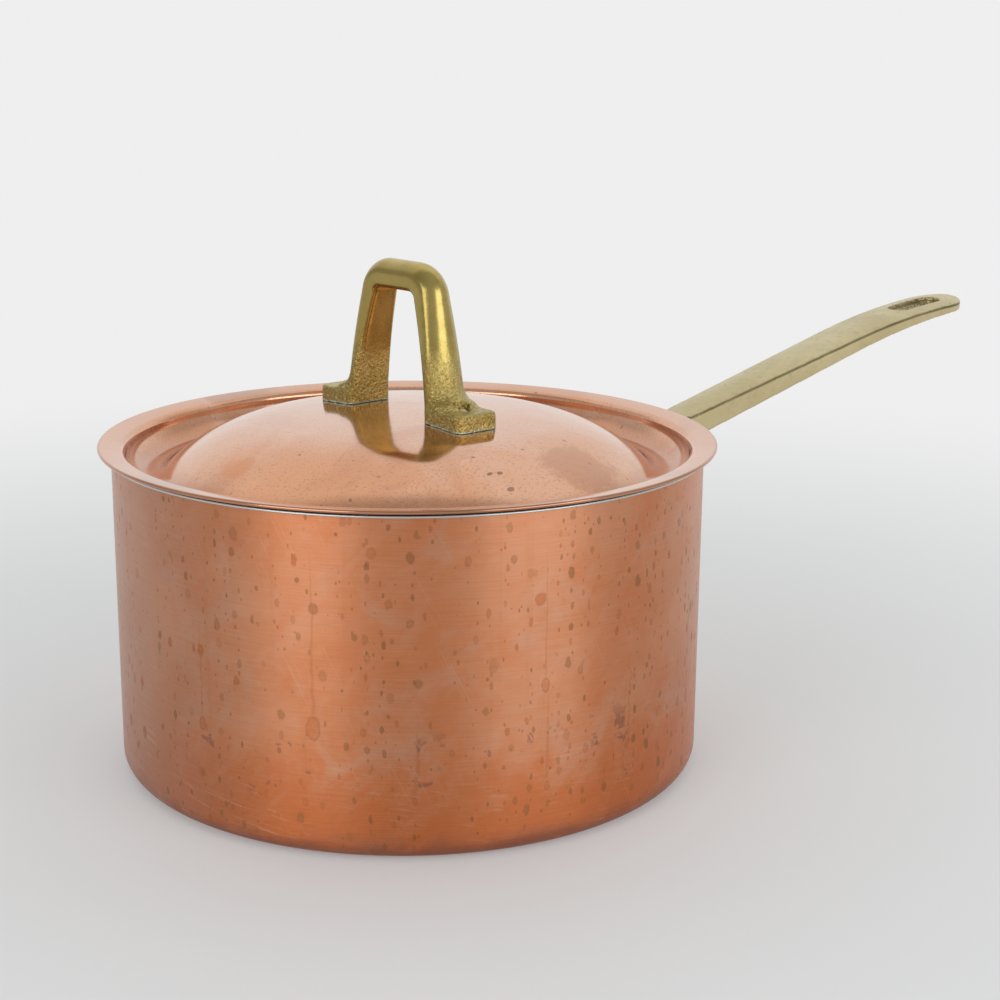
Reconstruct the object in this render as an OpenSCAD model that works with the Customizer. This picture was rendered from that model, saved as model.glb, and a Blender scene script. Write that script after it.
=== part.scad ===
// Covered saucepan: copper outside, steel lining inside, cast brass handles.
// The origin is on the pan's axis at the underside of its base. +Z is up and
// +X runs along the long handle. Sizes are in millimetres.

/* [Pan] */
// Outside radius of the wall just under the lip
pan_r_top = 90; // [80:0.5:100]
// Outside radius of the wall just above the base corner
pan_r_base = 90; // [87:0.1:90]
// Height over the lip
pan_h = 98; // [92:0.5:110]
// Outside radius of the rounded corner between base and wall
pan_corner_r = 5.5; // [4:0.5:12]
// Thickness of the copper
pan_copper_t = 1.4; // [1:0.1:2]
// Thickness of the steel lining
pan_steel_t = 0.7; // [0.5:0.1:1]
// How far the lining's lip stands out past the wall
lip_out = 1.7; // [1:0.1:2.5]
// Bend radius under the lip
lip_bend_r = 1.2; // [0.8:0.1:1.3]

/* [Lid] */
// Outside radius of the flange
lid_r = 94; // [93:0.5:97]
// Thickness of the lid's copper
lid_copper_t = 0.6; // [0.5:0.1:0.8]
// Thickness of the lid's steel lining
lid_steel_t = 0.5; // [0.4:0.1:0.6]
// Rise of the flange towards its edge, in degrees
flange_rise = 8.5; // [4:0.5:12]
// Depth of the hem that the copper makes over the lining's edge
hem_w = 0.6; // [0.4:0.1:1]
// Radius of the channel's outer wall, copper side
channel_wall_r = 85.9; // [84:0.1:86]
// Radius of the bend between the channel's wall and the flange
flange_bend_r = 2.2; // [1.6:0.1:3]
// Height of the dome's crown above the pan's lip
crown_rise = 10; // [8:0.5:14]
// Radius of the dome's crown
crown_r = 430; // [400:5:460]
// Half angle that the crown spans, in degrees
crown_a = 5.5; // [5:0.5:6]
// Radius of the dome's shoulder
shoulder_r = 57; // [54:1:60]
// Slope where the shoulder runs into the channel, in degrees
shoulder_a = 42; // [38:1:44]
// Air gap between the lid's flange and the pan's lip
seat_gap = 0.3; // [0.2:0.05:0.5]

/* [Long handle] */
// Distance of the tip from the pan's axis
arm_tip_x = 273; // [260:1:300]
// Height of the arm's top face where it meets the wall
arm_root_z = 86.2; // [82:0.2:87]
// Slope of the straight stretch
arm_slope = 0.226; // [0.18:0.002:0.26]
// Distance from the axis at which the arm starts to level out
arm_bend_x = 206; // [190:1:220]
// Radius of that long bend
arm_bend_r = 368; // [330:2:400]
// Width at the wall
arm_root_w = 12.4; // [11:0.2:15]
// Width at the start of the rounded tip
arm_tip_w = 23; // [20:0.5:25]
// Thickness of the side faces at the wall
arm_root_t = 9.2; // [8:0.2:10]
// Thickness of the side faces at the tip
arm_tip_t = 3; // [1.8:0.1:4]
// How far the middle of the top face stands above its edges at the wall
arm_root_crown = 1; // [0.5:0.1:1.6]
// How far the middle of the top face stands above its edges at the tip
arm_tip_crown = 1.4; // [1:0.1:2.4]
// Radius of the fillets where the arm spreads into its plate
arm_fillet_r = 5; // [3:0.5:6]
// Length of the hanging slot
slot_l = 26; // [24:0.5:30]
// Width of the hanging slot
slot_w = 9.5; // [8:0.5:12]
// Distance of the slot's outer end from the tip
slot_inset = 9; // [7:0.5:10]
// Thickness of the plate on the wall
plate_t = 3.2; // [2.5:0.1:4]

/* [Lid handle] */
// How far the arch sits off the lid's centre, across and along its length
arch_offset = [-0.8, 0.8];
// Distance between the outer ends of the feet
foot_span = 70; // [66:0.5:74]
// Thickness of the feet at their outer ends
foot_t = 5.4; // [4.8:0.1:6]
// Width of the feet
foot_w = 15.8; // [14:0.2:17]
// Width of the strap at the bottom of the legs
strap_base_w = 15.4; // [12:0.2:16]
// Width of the strap at the top
strap_top_w = 10.2; // [9:0.2:12]
// Thickness of the strap at the bottom of the legs
strap_base_t = 5.6; // [5:0.1:8]
// Thickness of the strap at the top
strap_top_t = 8.7; // [8:0.1:9.5]
// Thickness of the strap's side faces at the bottom of the legs
side_base_t = 2.4; // [2:0.1:4]
// Thickness of the strap's side faces at the top
side_top_t = 5.5; // [4:0.1:6]
// Gap between the legs at the bottom
gap_base = 35.6; // [34:0.2:37]
// Gap between the legs at the top
gap_top = 19.2; // [17:0.2:20]
// Height of the gap's top above the dome's crown
gap_rise = 37; // [34:0.5:40]
// Radius of the fillets between the legs and the feet
foot_fillet_r = 5.5; // [4:0.5:6]

/* [Rivets] */
// Radius of the long handle's rivet shanks
handle_shank_r = 2.8; // [2.5:0.1:3]
// Radius of the long handle's rivet heads
handle_head_r = 4.6; // [4:0.1:5]
// Height of the long handle's rivet heads
handle_head_h = 2; // [1.6:0.1:2.4]
// Distance of the lid rivets from the middle of the arch
lid_rivet_y = 26.4; // [26:0.2:29]
// Radius of the lid rivets' shanks
lid_shank_r = 1.5; // [1.3:0.1:1.7]
// Radius of the lid rivets' heads
lid_head_r = 2.1; // [2:0.1:2.6]
// Height of the lid rivets' heads
lid_head_h = 0.8; // [0.6:0.1:1]
// Depth of the round recess that holds a lid rivet's head
recess_d = 1; // [0.8:0.1:1.2]

/* [Hidden] */
$fn = 96;

// Radial play of a rivet's shank in its hole, and of its head in a recess
rivet_play = 0.05;
recess_play = 0.25;
// Air under the flat inner heads, where the wall behind them is curved
handle_tail_gap = 0.15;
lid_tail_gap = 0.04;
// Reach of cutting shapes past what they cut
over = 1;
// Steps in a short arc and in a long curve
edge_steps = 4;
arc_steps = 8;
curve_steps = 16;
arm_steps = 40;

// Pan: depths below the outside surface
pan_wall_t = pan_copper_t + pan_steel_t;
lip_z = pan_h - pan_steel_t;
lip_r = pan_r_top + lip_out;

// Lid: the section is a chain of tangent arcs, from the axis outwards
lid_t = lid_copper_t + lid_steel_t;
lip_top_r = pan_r_top - pan_copper_t + lip_bend_r;
flange_edge_z = pan_h + seat_gap + lid_t / cos(flange_rise)
    + tan(flange_rise) * (lid_r - lip_top_r);
crown_z = pan_h + crown_rise;
crown_c = [0, crown_z - crown_r];
shoulder_c = crown_c + (crown_r - shoulder_r) * [sin(crown_a), cos(crown_a)];
shoulder_end = shoulder_c + shoulder_r * [sin(shoulder_a), cos(shoulder_a)];
channel_r = (channel_wall_r - shoulder_end[0]) / (1 + sin(shoulder_a));
channel_c = shoulder_end + channel_r * [sin(shoulder_a), cos(shoulder_a)];
bend_c_x = channel_wall_r + flange_bend_r;
bend_c = [
    bend_c_x,
    flange_edge_z - tan(flange_rise) * (lid_r - bend_c_x)
        - flange_bend_r / cos(flange_rise)
];

// Long handle
arm_root_x = pan_r_top;
arm_bend_a = atan(arm_slope);
arm_bend_c = [
    arm_bend_x + arm_bend_r * sin(arm_bend_a),
    arm_root_z + arm_slope * (arm_bend_x - arm_root_x) - arm_bend_r * cos(arm_bend_a)
];
arm_end_r = arm_tip_w / 2;
arm_shoulder_x = arm_tip_x - arm_end_r;
arm_fillet_end = pan_r_top + plate_t + arm_fillet_r;
slot_x = arm_tip_x - slot_inset - slot_l / 2;
plate_top_z = 91;
plate_top_w = 42;
plate_corner_r = 7;
plate_low_z = 60;
plate_low_r = 8;
// Rivets of the long handle: angle round the pan's axis, height
handle_rivets = [[10, 82], [-10, 82], [0, plate_low_z + 1]];

// Lid handle: the legs bow slightly outwards, by this sagitta
leg_bow = 0.9;
leg_base_z = crown_z - 2;
gap_top_z = crown_z + gap_rise;
inner_corner_r = 2.5;
foot_corner_r = 3;
strap_edge = 1.7;
foot_top_z = crown_z - (foot_span / 2) * (foot_span / 2) / (2 * crown_r) + foot_t;

// Points of an arc round c from angle a0 to angle a1
function arc(c, r, a0, a1, steps = arc_steps) =
    [for (i = [0:steps]) let (a = a0 + (a1 - a0) * i / steps) c + r * [cos(a), sin(a)]];

function reversed(points) = [for (i = [len(points) - 1:-1:0]) points[i]];

// Points from p to q on a curve that bows sideways by the sagitta s, at the given shares
function bowed(p, q, s, shares) =
    let (n = [q[1] - p[1], p[0] - q[0]] / norm(q - p))
    [for (u = shares) p + (q - p) * u + n * s * 4 * u * (1 - u)];

// Pan base and its rounded corner, d below the outside surface
function pan_path(d) = concat(
    [[0, d]],
    arc([pan_r_base - pan_corner_r, pan_corner_r], pan_corner_r - d, -90, 0)
);

// The lining bends out over the copper's edge, d below the outside surface
function lip_path(d) = let (bend = lip_bend_r + d - pan_copper_t) concat(
    arc([lip_top_r, lip_z - lip_bend_r], bend, 180, 90),
    [[lip_r, lip_z - lip_bend_r + bend]]
);

// Lid section, d below its top surface, from the axis to the radius r
function lid_path(d, r) = concat(
    arc(crown_c, crown_r - d, 90, 90 - crown_a),
    arc(shoulder_c, shoulder_r - d, 90 - crown_a, 90 - shoulder_a),
    arc(channel_c, channel_r + d, 270 - shoulder_a, 360),
    arc(bend_c, flange_bend_r - d, 180, 90 + flange_rise),
    [flange_point(d, r)]
);

// Point of the flange at the radius r, d below its top surface
function flange_point(d, r) =
    [r, flange_edge_z - tan(flange_rise) * (lid_r - r) - d / cos(flange_rise)];

// Height of the long handle's top face at its middle
function arm_top(x) = x < arm_bend_x
    ? arm_root_z + arm_slope * (x - arm_root_x)
    : arm_bend_c[1] + sqrt(arm_bend_r * arm_bend_r - pow(x - arm_bend_c[0], 2));

// A size that runs evenly from the wall to the start of the rounded tip
function arm_taper(x, root, tip) =
    root + (tip - root) * (x - arm_root_x) / (arm_shoulder_x - arm_root_x);

// Half width of the arm, rounded off past its shoulder
function arm_half_w(x) = x < arm_shoulder_x
    ? arm_taper(x, arm_root_w, arm_tip_w) / 2
    : sqrt(max(arm_end_r * arm_end_r - pow(x - arm_shoulder_x, 2), 1));

// How far the arm's fillet spreads at x, where it runs into the plate
function arm_spread(x) = let (u = min(max(arm_fillet_end - x, 0), arm_fillet_r))
    arm_fillet_r - sqrt(arm_fillet_r * arm_fillet_r - u * u);

// Upright section of the arm at x: crowned top, then the flat underside
function arm_ring(x) = let (
    half = arm_half_w(x),
    spread = arm_spread(x),
    crown = arm_taper(x, arm_root_crown, arm_tip_crown),
    full = arm_taper(x, arm_root_w, arm_tip_w) / 2,
    low = arm_top(x) - crown - arm_taper(x, arm_root_t, arm_tip_t) - spread
) concat(
    [for (i = [arc_steps:-1:-arc_steps]) let (u = i / arc_steps)
        [x, u * (half + spread), arm_top(x) + spread - crown * pow(u * half / full, 2)]],
    [[x, -half - spread, low], [x, half + spread, low]]
);

// Stations along the arm: close in the fillet, even along the strap, close in the tip
arm_stations = concat(
    [arm_root_x - over],
    [for (i = [0:arc_steps]) arm_fillet_end - arm_fillet_r * cos(90 * i / arc_steps)],
    [for (i = [1:arm_steps]) arm_fillet_end + (arm_shoulder_x - arm_fillet_end) * i / arm_steps],
    [for (i = [1:arc_steps]) arm_shoulder_x + arm_end_r * sin(90 * i / arc_steps)]
);

// Stations up a leg: close together in its fillet, then even
leg_h = gap_top_z - inner_corner_r - leg_base_z;
fillet_share = (foot_top_z + foot_fillet_r - leg_base_z) / leg_h;
leg_shares = concat(
    [for (i = [0:arc_steps]) fillet_share * i / arc_steps],
    [for (i = [1:arc_steps]) fillet_share + (1 - fillet_share) * i / arc_steps]
);

// Inner face of the lid handle's arch in the (y, z) plane, from foot to foot
arch_half = concat(
    bowed([gap_base / 2, leg_base_z], [gap_top / 2, gap_top_z - inner_corner_r],
        leg_bow, leg_shares),
    arc([gap_top / 2 - inner_corner_r, gap_top_z - inner_corner_r], inner_corner_r, 8, 90)
);
arch_path = concat(arch_half, reversed([for (p = arch_half) [-p[0], p[1]]]));

// How far a leg's outer face spreads at the height z, where it runs into its foot
function leg_spread(z) =
    let (u = min(max(foot_top_z + foot_fillet_r - z, 0), foot_fillet_r))
    foot_fillet_r - sqrt(foot_fillet_r * foot_fillet_r - u * u);

// Section of the arch at point number i: flat inside with soft edges, crowned outside
function arch_ring(i) = let (
    p = arch_path[i],
    ahead = arch_path[min(i + 1, len(arch_path) - 1)],
    behind = arch_path[max(i - 1, 0)],
    out = [ahead[1] - behind[1], behind[0] - ahead[0]] / norm(ahead - behind),
    rise = (p[1] - leg_base_z) / (gap_top_z - leg_base_z),
    half = (strap_base_w + (strap_top_w - strap_base_w) * rise) / 2,
    side = side_base_t + (side_top_t - side_base_t) * rise,
    crown = strap_base_t - side_base_t
        + (strap_top_t - side_top_t - strap_base_t + side_base_t) * rise,
    outline = concat(
        arc([-half + strap_edge, strap_edge], strap_edge, 180, 270, edge_steps),
        arc([half - strap_edge, strap_edge], strap_edge, 270, 360, edge_steps),
        [for (k = [0:curve_steps]) let (u = 1 - 2 * k / curve_steps)
            [half * u, side + crown * (1 - u * u) + leg_spread(p[1])]]
    )
) [for (q = outline) [q[0], p[0] + out[0] * q[1], p[1] + out[1] * q[1]]];

// Closed skin over a list of rings that all have the same number of points
module skin(rings) {
    n = len(rings);
    m = len(rings[0]);
    polyhedron(
        points = [for (ring = rings) each ring],
        faces = concat(
            [[for (k = [0:m - 1]) k]],
            [for (i = [0:n - 2], k = [0:m - 1]) let (next = (k + 1) % m)
                [i * m + next, i * m + k, (i + 1) * m + k, (i + 1) * m + next]],
            [[for (k = [m - 1:-1:0]) (n - 1) * m + k]]
        )
    );
}

// Rivet along +Z: its outer head sits on z = 0, its flat inner head on z = -grip
module rivet(shank_r, head_r, head_h, grip) {
    dome_r = (head_r * head_r + head_h * head_h) / (2 * head_h);
    dome_a = asin(head_r / dome_r);
    rotate_extrude()
        polygon(concat(
            arc([0, -grip - head_h + dome_r], dome_r, -90, dome_a - 90),
            [[shank_r, -grip], [shank_r, 0]],
            arc([0, head_h - dome_r], dome_r, 90 - dome_a, 90)
        ));
}

// Places a child on the pan wall, +Z pointing out along rivet number i
module at_handle_rivet(i) {
    rotate([0, 0, handle_rivets[i][0]])
        translate([pan_r_top + plate_t, 0, handle_rivets[i][1]])
            rotate([0, 90, 0])
                children();
}

// Places a child on the dome at a rivet, +Z pointing straight out of the dome
module at_lid_rivet(side) {
    x = arch_offset[0];
    y = arch_offset[1] + side * lid_rivet_y;
    translate([0, 0, crown_c[1]])
        rotate([0, asin(norm([x, y]) / crown_r), atan2(y, x)])
            translate([0, 0, crown_r])
                children();
}

// Holes for the long handle's rivets, through wall and plate
module handle_rivet_holes() {
    depth = plate_t + pan_wall_t;
    for (i = [0:len(handle_rivets) - 1])
        at_handle_rivet(i)
            translate([0, 0, -depth - 2 * over])
                cylinder(r = handle_shank_r + rivet_play, h = depth + 4 * over);
}

// Holes for the lid's rivets, through dome and foot
module lid_rivet_holes() {
    for (side = [-1, 1])
        at_lid_rivet(side)
            translate([0, 0, -lid_t - over])
                cylinder(r = lid_shank_r + rivet_play, h = lid_t + foot_t + 4 * over);
}

module pan_copper_shell() {
    color([0.72, 0.42, 0.28])
        difference() {
            rotate_extrude()
                polygon(concat(pan_path(0), [[pan_r_top, lip_z], [lip_top_r, lip_z]],
                    reversed(arc([lip_top_r, lip_z - lip_bend_r], lip_bend_r, 180, 90)),
                    reversed(pan_path(pan_copper_t))));
            handle_rivet_holes();
        }
}

module pan_steel_liner() {
    color([0.75, 0.75, 0.74])
        difference() {
            rotate_extrude()
                polygon(concat(pan_path(pan_copper_t), lip_path(pan_copper_t),
                    reversed(lip_path(pan_wall_t)), reversed(pan_path(pan_wall_t))));
            handle_rivet_holes();
        }
}

// Outline of the plate, seen along the handle
module plate_outline() {
    hull() {
        for (side = [-1, 1])
            translate([side * (plate_top_w / 2 - plate_corner_r), plate_top_z - plate_corner_r])
                circle(r = plate_corner_r);
        translate([0, plate_low_z])
            circle(r = plate_low_r);
    }
}

module plate() {
    intersection() {
        difference() {
            cylinder(r = pan_r_top + plate_t, h = pan_h);
            translate([0, 0, -over])
                cylinder(r = pan_r_top + rivet_play, h = pan_h + 2 * over);
        }
        rotate([90, 0, 90])
            linear_extrude(height = pan_r_top + plate_t + over)
                plate_outline();
    }
}

module hanging_slot() {
    flat_l = slot_l - slot_w;
    linear_extrude(height = 2 * pan_h)
        union() {
            translate([slot_x - flat_l / 2, 0])
                circle(d = slot_w);
            translate([slot_x + flat_l / 2, 0])
                circle(d = slot_w);
            translate([slot_x - flat_l / 2, -slot_w / 2])
                square([flat_l, slot_w]);
        }
}

module pan_handle() {
    color([0.74, 0.68, 0.45])
        difference() {
            union() {
                plate();
                skin([for (x = arm_stations) arm_ring(x)]);
            }
            cylinder(r = pan_r_top + rivet_play, h = pan_h);
            hanging_slot();
            handle_rivet_holes();
        }
}

module handle_rivet(i) {
    color([0.72, 0.62, 0.36])
        at_handle_rivet(i)
            rivet(handle_shank_r, handle_head_r, handle_head_h,
                plate_t + pan_wall_t + handle_tail_gap);
}

module lid_copper_shell() {
    color([0.86, 0.6, 0.47])
        difference() {
            rotate_extrude()
                polygon(concat(
                    lid_path(0, lid_r),
                    [flange_point(lid_t, lid_r), flange_point(lid_t, lid_r - hem_w)],
                    reversed(lid_path(lid_copper_t, lid_r - hem_w))
                ));
            lid_rivet_holes();
        }
}

module lid_steel_liner() {
    color([0.75, 0.75, 0.74])
        difference() {
            rotate_extrude()
                polygon(concat(
                    lid_path(lid_copper_t, lid_r - hem_w),
                    reversed(lid_path(lid_t, lid_r - hem_w))
                ));
            lid_rivet_holes();
        }
}

// Top view of a foot: rounded outer corners, and the leg's own soft edges inside
module foot_top_view() {
    y = foot_span / 2 - foot_corner_r;
    x = foot_w / 2 - foot_corner_r;
    inner_y = gap_base / 2 + strap_edge;
    inner_x = foot_w / 2 - strap_edge;
    polygon(concat(
        arc([x, y], foot_corner_r, 0, 90),
        arc([-x, y], foot_corner_r, 90, 180),
        arc([-inner_x, inner_y], strap_edge, 180, 270),
        arc([inner_x, inner_y], strap_edge, 270, 360)
    ));
}

module foot() {
    translate([0, 0, crown_z - 2 * foot_t])
        linear_extrude(height = foot_top_z - crown_z + 2 * foot_t)
            foot_top_view();
}

module lid_handle() {
    color([0.66, 0.58, 0.27])
        difference() {
            translate([arch_offset[0], arch_offset[1], 0])
                union() {
                    skin([for (i = [0:len(arch_path) - 1]) arch_ring(i)]);
                    foot();
                    mirror([0, 1, 0])
                        foot();
                }
            rotate_extrude()
                polygon(concat([[0, 0]], arc(crown_c, crown_r, 90, 90 - crown_a),
                    [[crown_r * sin(crown_a), 0]]));
            lid_rivet_holes();
            for (side = [-1, 1])
                at_lid_rivet(side)
                    translate([0, 0, foot_t - recess_d])
                        cylinder(r = lid_head_r + recess_play, h = foot_fillet_r);
        }
}

module lid_rivet(side) {
    color([0.7, 0.6, 0.3])
        at_lid_rivet(side)
            translate([0, 0, foot_t - recess_d])
                rivet(lid_shank_r, lid_head_r, lid_head_h,
                    foot_t - recess_d + lid_t + lid_tail_gap);
}

pan_copper_shell();
pan_steel_liner();
pan_handle();
handle_rivet(0);  // handle_rivet_1
handle_rivet(1);  // handle_rivet_2
handle_rivet(2);  // handle_rivet_3
lid_copper_shell();
lid_steel_liner();
lid_handle();
lid_rivet(-1);  // lid_rivet_1
lid_rivet(1);  // lid_rivet_2
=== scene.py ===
"""Looks of the covered saucepan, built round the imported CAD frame. All sizes are in metres."""

import math

import bmesh
import bpy
import numpy as np
from mathutils import Matrix, Vector


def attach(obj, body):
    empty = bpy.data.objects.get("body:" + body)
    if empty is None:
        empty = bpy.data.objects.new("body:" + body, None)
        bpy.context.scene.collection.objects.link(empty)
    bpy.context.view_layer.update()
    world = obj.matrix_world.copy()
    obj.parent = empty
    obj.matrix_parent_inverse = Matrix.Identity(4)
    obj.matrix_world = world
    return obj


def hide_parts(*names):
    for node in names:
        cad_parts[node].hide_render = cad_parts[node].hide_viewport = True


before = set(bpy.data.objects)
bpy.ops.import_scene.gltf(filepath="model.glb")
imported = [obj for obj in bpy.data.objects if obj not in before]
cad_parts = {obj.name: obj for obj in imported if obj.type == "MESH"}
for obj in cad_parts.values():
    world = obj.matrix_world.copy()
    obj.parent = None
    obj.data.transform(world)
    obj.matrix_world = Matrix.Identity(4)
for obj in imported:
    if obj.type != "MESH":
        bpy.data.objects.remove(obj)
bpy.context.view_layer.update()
MM = 0.001

# ---------------------------------------------------------------- sizes, as in the CAD
PAN_R = 90 * MM
PAN_H = 98 * MM
PAN_CORNER_R = 5.5 * MM
PAN_COPPER_T = 1.4 * MM
PAN_STEEL_T = 0.7 * MM
LIP_OUT = 1.7 * MM
LIP_BEND_R = 1.2 * MM

LID_R = 94 * MM
LID_COPPER_T = 0.6 * MM
LID_STEEL_T = 0.5 * MM
FLANGE_RISE = math.radians(8.5)
HEM_W = 0.6 * MM
CHANNEL_WALL_R = 85.9 * MM
FLANGE_BEND_R = 2.2 * MM
CROWN_RISE = 10 * MM
CROWN_R = 430 * MM
CROWN_A = 5.5
CROWN_START_A = 0.6
SHOULDER_R = 57 * MM
SHOULDER_A = 42
SEAT_GAP = 0.3 * MM

ARM_ROOT_Z = 86.2 * MM
ARM_SLOPE = 0.226
ARM_BEND_X = 206 * MM
ARM_BEND_R = 368 * MM
ARM_TIP_X = 273 * MM
ARM_END_R = 11.5 * MM
ARM_ROOT_CROWN = 1 * MM
ARM_TIP_CROWN = 1.4 * MM
SLOT_X = 251 * MM
SLOT_L = 26 * MM
SLOT_W = 9.5 * MM
LID_RIVET_Y = 26.4 * MM
ARCH_X = -0.8 * MM
ARCH_Y = 0.8 * MM
RECESS_R = 2.2 * MM
RECESS_Z = 4.4 * MM

# Wear of the castings: worn up to the first distance, and no more past the second
SLOT_LIP_WEAR = (0.8 * MM, 2.2 * MM)
FOOT_WEAR = (5 * MM, 16 * MM)
# Sharp up to the first distance, and worn past the second
SEAT_SHARP = (0.2 * MM, 1.0 * MM)
RIVET_SHARP = (2.7 * MM, 3.4 * MM)
# How far remeshing may leave a recess's floor from its height
RECESS_ROUGH = 1.2 * MM

# The camera stands at this azimuth, seen from the pan's axis
VIEW_AZIMUTH = math.radians(-128)
AXIS = Vector((0, 0, 50 * MM))

CROWN_Z = PAN_H + CROWN_RISE
CROWN_C = np.array([0, CROWN_Z - CROWN_R])
DOME_CENTRE = np.array([0, 0, CROWN_Z - CROWN_R])
SEGMENTS = 256
# Extra rings of the pan's base and wall, which keep its faces short
BASE_RING_R = 40 * MM
WALL_RING_Z = (30 * MM, 60 * MM)
# A radius that counts as on the axis, and the distance at which points are welded
ON_AXIS = 1e-7
WELD = 1e-6
# Share of the way that one smoothing pass moves a point
SMOOTHING = 0.5


# ---------------------------------------------------------------- meshes
def link(name, mesh):
    """A new object at the origin, shaded smooth."""
    obj = bpy.data.objects.new(name, mesh)
    bpy.context.scene.collection.objects.link(obj)
    mesh.shade_smooth()
    return obj


def arc(centre, radius, start, end, steps=12):
    """Points of an arc round the centre; angles in degrees."""
    turn = np.radians(np.linspace(start, end, steps + 1))
    return [np.array(centre) + radius * np.array([math.cos(a), math.sin(a)]) for a in turn]


def lathe(name, section, sharp=60):
    """Turns a section that starts and ends on the axis round Z."""
    ring = np.linspace(0, 2 * math.pi, SEGMENTS, endpoint=False)
    bm = bmesh.new()
    rows = []
    for r, z in section:
        if r < ON_AXIS:
            rows.append([bm.verts.new((0, 0, z))])
        else:
            rows.append([bm.verts.new((r * math.cos(a), r * math.sin(a), z)) for a in ring])
    for low, high in zip(rows, rows[1:]):
        for i in range(SEGMENTS):
            j = (i + 1) % SEGMENTS
            corners = [
                low[i % len(low)],
                low[j % len(low)],
                high[j % len(high)],
                high[i % len(high)],
            ]
            face = list(dict.fromkeys(corners))
            if len(face) > 2:
                bm.faces.new(face)
    bmesh.ops.recalc_face_normals(bm, faces=bm.faces)
    mesh = bpy.data.meshes.new(name)
    bm.to_mesh(mesh)
    bm.free()
    obj = link(name, mesh)
    mesh.set_sharp_from_angle(angle=math.radians(sharp))
    return obj


def pan_path(d):
    """Base and rounded corner, d below the outside surface."""
    corner_c = [PAN_R - PAN_CORNER_R, PAN_CORNER_R]
    return [[0, d], [BASE_RING_R, d]] + arc(corner_c, PAN_CORNER_R - d, -90, 0)


lip_z = PAN_H - PAN_STEEL_T
lip_top_r = PAN_R - PAN_COPPER_T + LIP_BEND_R
lip_bend_c = [lip_top_r, lip_z - LIP_BEND_R]
pan_in = PAN_COPPER_T + PAN_STEEL_T
lip_r = PAN_R + LIP_OUT
lip_edge_r = PAN_STEEL_T / 2
lip_edge = arc([lip_r - lip_edge_r, lip_z + lip_edge_r], lip_edge_r, -90, 90, 8)

lid_t = LID_COPPER_T + LID_STEEL_T
flange_edge_z = (
    PAN_H
    + SEAT_GAP
    + lid_t / math.cos(FLANGE_RISE)
    + math.tan(FLANGE_RISE) * (LID_R - lip_top_r)
)


def off_axis(degrees):
    """Unit vector that leans out from the axis by the angle."""
    turn = math.radians(degrees)
    return np.array([math.sin(turn), math.cos(turn)])


crown_turn = off_axis(CROWN_A)
shoulder_turn = off_axis(SHOULDER_A)
shoulder_c = CROWN_C + (CROWN_R - SHOULDER_R) * crown_turn
shoulder_end = shoulder_c + SHOULDER_R * shoulder_turn
channel_r = (CHANNEL_WALL_R - shoulder_end[0]) / (1 + shoulder_turn[0])
channel_c = shoulder_end + channel_r * shoulder_turn
bend_x = CHANNEL_WALL_R + FLANGE_BEND_R
bend_c = [
    bend_x,
    flange_edge_z
    - math.tan(FLANGE_RISE) * (LID_R - bend_x)
    - FLANGE_BEND_R / math.cos(FLANGE_RISE),
]


def flange_point(d, r):
    """Point of the flange at the radius r, d below its top surface."""
    top_z = flange_edge_z - math.tan(FLANGE_RISE) * (LID_R - r)
    return [r, top_z - d / math.cos(FLANGE_RISE)]


def lid_path(d):
    """Lid section from the axis to the flange's bend, d below its top surface."""
    rise = math.degrees(FLANGE_RISE)
    return (
        [[0, CROWN_Z - d]]
        + arc(CROWN_C, CROWN_R - d, 90 - CROWN_START_A, 90 - CROWN_A, 8)
        + arc(shoulder_c, SHOULDER_R - d, 90 - CROWN_A, 90 - SHOULDER_A, 20)[1:]
        + arc(channel_c, channel_r + d, 270 - SHOULDER_A, 360, 24)[1:]
        + arc(bend_c, FLANGE_BEND_R - d, 180, 90 + rise, 12)
    )


rim_r = lid_t / 2
rim_c = flange_point(rim_r, LID_R - rim_r)
rise_deg = math.degrees(FLANGE_RISE)
hem_r = LID_R - HEM_W

pan_copper = lathe(
    "pan_copper",
    pan_path(0)
    + [[PAN_R, z] for z in WALL_RING_Z]
    + [[PAN_R, lip_z], [lip_top_r, lip_z]]
    + arc(lip_bend_c, LIP_BEND_R, 90, 180, 6)[1:]
    + pan_path(PAN_COPPER_T)[::-1],
)
pan_lining = lathe(
    "pan_lining",
    pan_path(PAN_COPPER_T)
    + arc(lip_bend_c, LIP_BEND_R, 180, 90, 8)
    + lip_edge
    + arc(lip_bend_c, LIP_BEND_R + PAN_STEEL_T, 90, 180, 10)
    + pan_path(pan_in)[::-1],
)
lid_copper = lathe(
    "lid_copper",
    lid_path(0)
    + arc(rim_c, rim_r, 90 + rise_deg, -90 + rise_deg, 12)
    + [flange_point(lid_t, hem_r), flange_point(LID_COPPER_T, hem_r)]
    + lid_path(LID_COPPER_T)[::-1],
)
lid_lining = lathe(
    "lid_lining",
    lid_path(LID_COPPER_T)
    + [flange_point(LID_COPPER_T, hem_r), flange_point(lid_t, hem_r)]
    + lid_path(lid_t)[::-1],
)


def applied(obj, *modifiers):
    """Applies modifiers, given as (type, settings), to the object's mesh."""
    for kind, settings in modifiers:
        modifier = obj.modifiers.new(kind.lower(), kind)
        for key, value in settings.items():
            setattr(modifier, key, value)
    graph = bpy.context.evaluated_depsgraph_get()
    mesh = bpy.data.meshes.new_from_object(obj.evaluated_get(graph))
    obj.modifiers.clear()
    obj.data = mesh
    mesh.shade_smooth()
    return obj


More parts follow.
